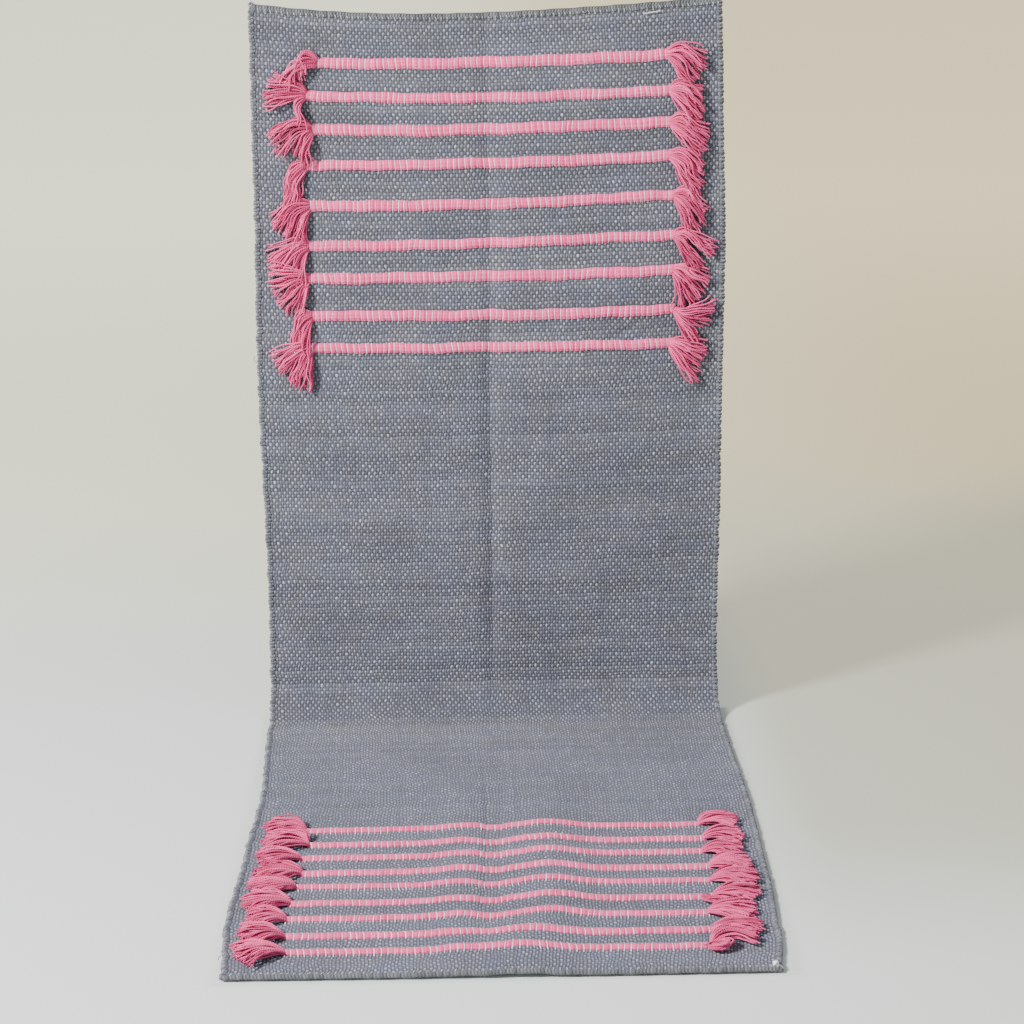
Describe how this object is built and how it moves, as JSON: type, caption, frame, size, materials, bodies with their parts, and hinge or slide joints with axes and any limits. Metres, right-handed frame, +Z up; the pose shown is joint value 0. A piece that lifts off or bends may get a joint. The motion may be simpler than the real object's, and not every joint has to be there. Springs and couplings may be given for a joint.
{
  "type": "runner rug",
  "caption": "Thick plain-woven cotton runner with raised inlay stripes ending in tassels, held up by one end so that it hangs, bends and lies on the floor.",
  "frame": {"origin": "centre of the bottom of the bounding box, on the floor that the rug lies on", "axes": "+X across the rug to the right seen from the front, +Y from the front edge back towards the hanging part, +Z up"},
  "size_m": [0.5, 0.7356, 0.7898],
  "materials": {
    "ground_cotton": "plain-woven blue-grey cotton, matte",
    "hem_cotton": "folded and stitched pale grey cotton edge, matte",
    "inlay_cotton": "light pink yarn bundle tied down by white threads, matte",
    "tassel_cotton": "loose deep pink cotton strands, matte"
  },
  "bodies": {
    "floor_part": {"floor_cloth": "ground_cotton", "front_hem": "hem_cotton", "inlay_band_lower_1": "inlay_cotton", "inlay_band_lower_2": "inlay_cotton", "inlay_band_lower_3": "inlay_cotton", "inlay_band_lower_4": "inlay_cotton", "inlay_band_lower_5": "inlay_cotton", "inlay_band_lower_6": "inlay_cotton", "inlay_band_lower_7": "inlay_cotton", "inlay_band_lower_8": "inlay_cotton", "inlay_band_lower_9": "inlay_cotton"},
    "bend_low_part": {"bend_cloth_low": "ground_cotton"},
    "bend_high_part": {"bend_cloth_high": "ground_cotton"},
    "hanging_part": {"hanging_cloth": "ground_cotton", "top_hem": "hem_cotton", "inlay_band_upper_1": "inlay_cotton", "inlay_band_upper_2": "inlay_cotton", "inlay_band_upper_3": "inlay_cotton", "inlay_band_upper_4": "inlay_cotton", "inlay_band_upper_5": "inlay_cotton", "inlay_band_upper_6": "inlay_cotton", "inlay_band_upper_7": "inlay_cotton", "inlay_band_upper_8": "inlay_cotton", "inlay_band_upper_9": "inlay_cotton"},
    "tassel_upper_left_1": {"tassel_upper_left_1": "tassel_cotton"},
    "tassel_upper_left_2": {"tassel_upper_left_2": "tassel_cotton"},
    "tassel_upper_left_3": {"tassel_upper_left_3": "tassel_cotton"},
    "tassel_upper_left_4": {"tassel_upper_left_4": "tassel_cotton"},
    "tassel_upper_left_5": {"tassel_upper_left_5": "tassel_cotton"},
    "tassel_upper_left_6": {"tassel_upper_left_6": "tassel_cotton"},
    "tassel_upper_left_7": {"tassel_upper_left_7": "tassel_cotton"},
    "tassel_upper_left_8": {"tassel_upper_left_8": "tassel_cotton"},
    "tassel_upper_left_9": {"tassel_upper_left_9": "tassel_cotton"},
    "tassel_upper_right_1": {"tassel_upper_right_1": "tassel_cotton"},
    "tassel_upper_right_2": {"tassel_upper_right_2": "tassel_cotton"},
    "tassel_upper_right_3": {"tassel_upper_right_3": "tassel_cotton"},
    "tassel_upper_right_4": {"tassel_upper_right_4": "tassel_cotton"},
    "tassel_upper_right_5": {"tassel_upper_right_5": "tassel_cotton"},
    "tassel_upper_right_6": {"tassel_upper_right_6": "tassel_cotton"},
    "tassel_upper_right_7": {"tassel_upper_right_7": "tassel_cotton"},
    "tassel_upper_right_8": {"tassel_upper_right_8": "tassel_cotton"},
    "tassel_upper_right_9": {"tassel_upper_right_9": "tassel_cotton"},
    "tassel_lower_left_1": {"tassel_lower_left_1": "tassel_cotton"},
    "tassel_lower_left_2": {"tassel_lower_left_2": "tassel_cotton"},
    "tassel_lower_left_3": {"tassel_lower_left_3": "tassel_cotton"},
    "tassel_lower_left_4": {"tassel_lower_left_4": "tassel_cotton"},
    "tassel_lower_left_5": {"tassel_lower_left_5": "tassel_cotton"},
    "tassel_lower_left_6": {"tassel_lower_left_6": "tassel_cotton"},
    "tassel_lower_left_7": {"tassel_lower_left_7": "tassel_cotton"},
    "tassel_lower_left_8": {"tassel_lower_left_8": "tassel_cotton"},
    "tassel_lower_left_9": {"tassel_lower_left_9": "tassel_cotton"},
    "tassel_lower_right_1": {"tassel_lower_right_1": "tassel_cotton"},
    "tassel_lower_right_2": {"tassel_lower_right_2": "tassel_cotton"},
    "tassel_lower_right_3": {"tassel_lower_right_3": "tassel_cotton"},
    "tassel_lower_right_4": {"tassel_lower_right_4": "tassel_cotton"},
    "tassel_lower_right_5": {"tassel_lower_right_5": "tassel_cotton"},
    "tassel_lower_right_6": {"tassel_lower_right_6": "tassel_cotton"},
    "tassel_lower_right_7": {"tassel_lower_right_7": "tassel_cotton"},
    "tassel_lower_right_8": {"tassel_lower_right_8": "tassel_cotton"},
    "tassel_lower_right_9": {"tassel_lower_right_9": "tassel_cotton"}
  },
  "joints": [
    {"name": "bend_low", "type": "hinge", "parent": "floor_part", "child": "bend_low_part", "pos_m": [0, 0.33167, 0.002], "axis": [-1, 0, 0], "range_deg": [-30, 30]},
    {"name": "bend_middle", "type": "hinge", "parent": "bend_low_part", "child": "bend_high_part", "pos_m": [0, 0.35333, 0.0145], "axis": [-1, 0, 0], "range_deg": [-30, 30]},
    {"name": "bend_high", "type": "hinge", "parent": "bend_high_part", "child": "hanging_part", "pos_m": [0, 0.36583, 0.03615], "axis": [-1, 0, 0], "range_deg": [-30, 30]},
    {"name": "lift_upper_left_1", "type": "hinge", "parent": "hanging_part", "child": "tassel_upper_left_1", "pos_m": [-0.19905, 0.36002, 0.72865], "axis": [-0.766, 0, 0.6428], "range_deg": [0, 90]},
    {"name": "lift_upper_left_2", "type": "hinge", "parent": "hanging_part", "child": "tassel_upper_left_2", "pos_m": [-0.19905, 0.36002, 0.69074], "axis": [-0.766, 0, 0.6428], "range_deg": [0, 90]},
    {"name": "lift_upper_left_3", "type": "hinge", "parent": "hanging_part", "child": "tassel_upper_left_3", "pos_m": [-0.19905, 0.36002, 0.65584], "axis": [-0.766, 0, 0.6428], "range_deg": [0, 90]},
    {"name": "lift_upper_left_4", "type": "hinge", "parent": "hanging_part", "child": "tassel_upper_left_4", "pos_m": [-0.19905, 0.36002, 0.61893], "axis": [-0.766, 0, 0.6428], "range_deg": [0, 90]},
    {"name": "lift_upper_left_5", "type": "hinge", "parent": "hanging_part", "child": "tassel_upper_left_5", "pos_m": [-0.19905, 0.36002, 0.57503], "axis": [-0.766, 0, 0.6428], "range_deg": [0, 90]},
    {"name": "lift_upper_left_6", "type": "hinge", "parent": "hanging_part", "child": "tassel_upper_left_6", "pos_m": [-0.19905, 0.36002, 0.53212], "axis": [-0.766, 0, 0.6428], "range_deg": [0, 90]},
    {"name": "lift_upper_left_7", "type": "hinge", "parent": "hanging_part", "child": "tassel_upper_left_7", "pos_m": [-0.19905, 0.36002, 0.49622], "axis": [-0.766, 0, 0.6428], "range_deg": [0, 90]},
    {"name": "lift_upper_left_8", "type": "hinge", "parent": "hanging_part", "child": "tassel_upper_left_8", "pos_m": [-0.19905, 0.36002, 0.45382], "axis": [-0.766, 0, 0.6428], "range_deg": [0, 90]},
    {"name": "lift_upper_left_9", "type": "hinge", "parent": "hanging_part", "child": "tassel_upper_left_9", "pos_m": [-0.19905, 0.36002, 0.41741], "axis": [-0.766, 0, 0.6428], "range_deg": [0, 90]},
    {"name": "lift_upper_right_1", "type": "hinge", "parent": "hanging_part", "child": "tassel_upper_right_1", "pos_m": [0.19905, 0.36002, 0.72865], "axis": [-0.766, 0, -0.6428], "range_deg": [0, 90]},
    {"name": "lift_upper_right_2", "type": "hinge", "parent": "hanging_part", "child": "tassel_upper_right_2", "pos_m": [0.19905, 0.36002, 0.69074], "axis": [-0.766, 0, -0.6428], "range_deg": [0, 90]},
    {"name": "lift_upper_right_3", "type": "hinge", "parent": "hanging_part", "child": "tassel_upper_right_3", "pos_m": [0.19905, 0.36002, 0.65584], "axis": [-0.766, 0, -0.6428], "range_deg": [0, 90]},
    {"name": "lift_upper_right_4", "type": "hinge", "parent": "hanging_part", "child": "tassel_upper_right_4", "pos_m": [0.19905, 0.36002, 0.61893], "axis": [-0.766, 0, -0.6428], "range_deg": [0, 90]},
    {"name": "lift_upper_right_5", "type": "hinge", "parent": "hanging_part", "child": "tassel_upper_right_5", "pos_m": [0.19905, 0.36002, 0.57503], "axis": [-0.766, 0, -0.6428], "range_deg": [0, 90]},
    {"name": "lift_upper_right_6", "type": "hinge", "parent": "hanging_part", "child": "tassel_upper_right_6", "pos_m": [0.19905, 0.36002, 0.53212], "axis": [-0.766, 0, -0.6428], "range_deg": [0, 90]},
    {"name": "lift_upper_right_7", "type": "hinge", "parent": "hanging_part", "child": "tassel_upper_right_7", "pos_m": [0.19905, 0.36002, 0.49622], "axis": [-0.766, 0, -0.6428], "range_deg": [0, 90]},
    {"name": "lift_upper_right_8", "type": "hinge", "parent": "hanging_part", "child": "tassel_upper_right_8", "pos_m": [0.19905, 0.36002, 0.45382], "axis": [-0.766, 0, -0.6428], "range_deg": [0, 90]},
    {"name": "lift_upper_right_9", "type": "hinge", "parent": "hanging_part", "child": "tassel_upper_right_9", "pos_m": [0.19905, 0.36002, 0.41741], "axis": [-0.766, 0, -0.6428], "range_deg": [0, 90]},
    {"name": "lift_lower_left_1", "type": "hinge", "parent": "floor_part", "child": "tassel_lower_left_1", "pos_m": [-0.19591, -0.00792, 0.0078], "axis": [-0.0698, 0.9976, 0], "range_deg": [0, 90]},
    {"name": "lift_lower_left_2", "type": "hinge", "parent": "floor_part", "child": "tassel_lower_left_2", "pos_m": [-0.19591, -0.04822, 0.0078], "axis": [-0.0698, 0.9976, 0], "range_deg": [0, 90]},
    {"name": "lift_lower_left_3", "type": "hinge", "parent": "floor_part", "child": "tassel_lower_left_3", "pos_m": [-0.19591, -0.08303, 0.0078], "axis": [-0.0698, 0.9976, 0], "range_deg": [0, 90]},
    {"name": "lift_lower_left_4", "type": "hinge", "parent": "floor_part", "child": "tassel_lower_left_4", "pos_m": [-0.19591, -0.12233, 0.0078], "axis": [-0.0698, 0.9976, 0], "range_deg": [0, 90]},
    {"name": "lift_lower_left_5", "type": "hinge", "parent": "floor_part", "child": "tassel_lower_left_5", "pos_m": [-0.19591, -0.15712, 0.0078], "axis": [-0.0698, 0.9976, 0], "range_deg": [0, 90]},
    {"name": "lift_lower_left_6", "type": "hinge", "parent": "floor_part", "child": "tassel_lower_left_6", "pos_m": [-0.19591, -0.19792, 0.0078], "axis": [-0.0698, 0.9976, 0], "range_deg": [0, 90]},
    {"name": "lift_lower_left_7", "type": "hinge", "parent": "floor_part", "child": "tassel_lower_left_7", "pos_m": [-0.19591, -0.23522, 0.0078], "axis": [-0.0698, 0.9976, 0], "range_deg": [0, 90]},
    {"name": "lift_lower_left_8", "type": "hinge", "parent": "floor_part", "child": "tassel_lower_left_8", "pos_m": [-0.19591, -0.27603, 0.0078], "axis": [-0.0698, 0.9976, 0], "range_deg": [0, 90]},
    {"name": "lift_lower_left_9", "type": "hinge", "parent": "floor_part", "child": "tassel_lower_left_9", "pos_m": [-0.19591, -0.31183, 0.0078], "axis": [-0.0698, 0.9976, 0], "range_deg": [0, 90]},
    {"name": "lift_lower_right_1", "type": "hinge", "parent": "floor_part", "child": "tassel_lower_right_1", "pos_m": [0.19591, -0.00792, 0.0078], "axis": [-0.0698, -0.9976, 0], "range_deg": [0, 90]},
    {"name": "lift_lower_right_2", "type": "hinge", "parent": "floor_part", "child": "tassel_lower_right_2", "pos_m": [0.19591, -0.04822, 0.0078], "axis": [-0.0698, -0.9976, 0], "range_deg": [0, 90]},
    {"name": "lift_lower_right_3", "type": "hinge", "parent": "floor_part", "child": "tassel_lower_right_3", "pos_m": [0.19591, -0.08303, 0.0078], "axis": [-0.0698, -0.9976, 0], "range_deg": [0, 90]},
    {"name": "lift_lower_right_4", "type": "hinge", "parent": "floor_part", "child": "tassel_lower_right_4", "pos_m": [0.19591, -0.12233, 0.0078], "axis": [-0.0698, -0.9976, 0], "range_deg": [0, 90]},
    {"name": "lift_lower_right_5", "type": "hinge", "parent": "floor_part", "child": "tassel_lower_right_5", "pos_m": [0.19591, -0.15712, 0.0078], "axis": [-0.0698, -0.9976, 0], "range_deg": [0, 90]},
    {"name": "lift_lower_right_6", "type": "hinge", "parent": "floor_part", "child": "tassel_lower_right_6", "pos_m": [0.19591, -0.19792, 0.0078], "axis": [-0.0698, -0.9976, 0], "range_deg": [0, 90]},
    {"name": "lift_lower_right_7", "type": "hinge", "parent": "floor_part", "child": "tassel_lower_right_7", "pos_m": [0.19591, -0.23522, 0.0078], "axis": [-0.0698, -0.9976, 0], "range_deg": [0, 90]},
    {"name": "lift_lower_right_8", "type": "hinge", "parent": "floor_part", "child": "tassel_lower_right_8", "pos_m": [0.19591, -0.27603, 0.0078], "axis": [-0.0698, -0.9976, 0], "range_deg": [0, 90]},
    {"name": "lift_lower_right_9", "type": "hinge", "parent": "floor_part", "child": "tassel_lower_right_9", "pos_m": [0.19591, -0.31183, 0.0078], "axis": [-0.0698, -0.9976, 0], "range_deg": [0, 90]}
  ]
}
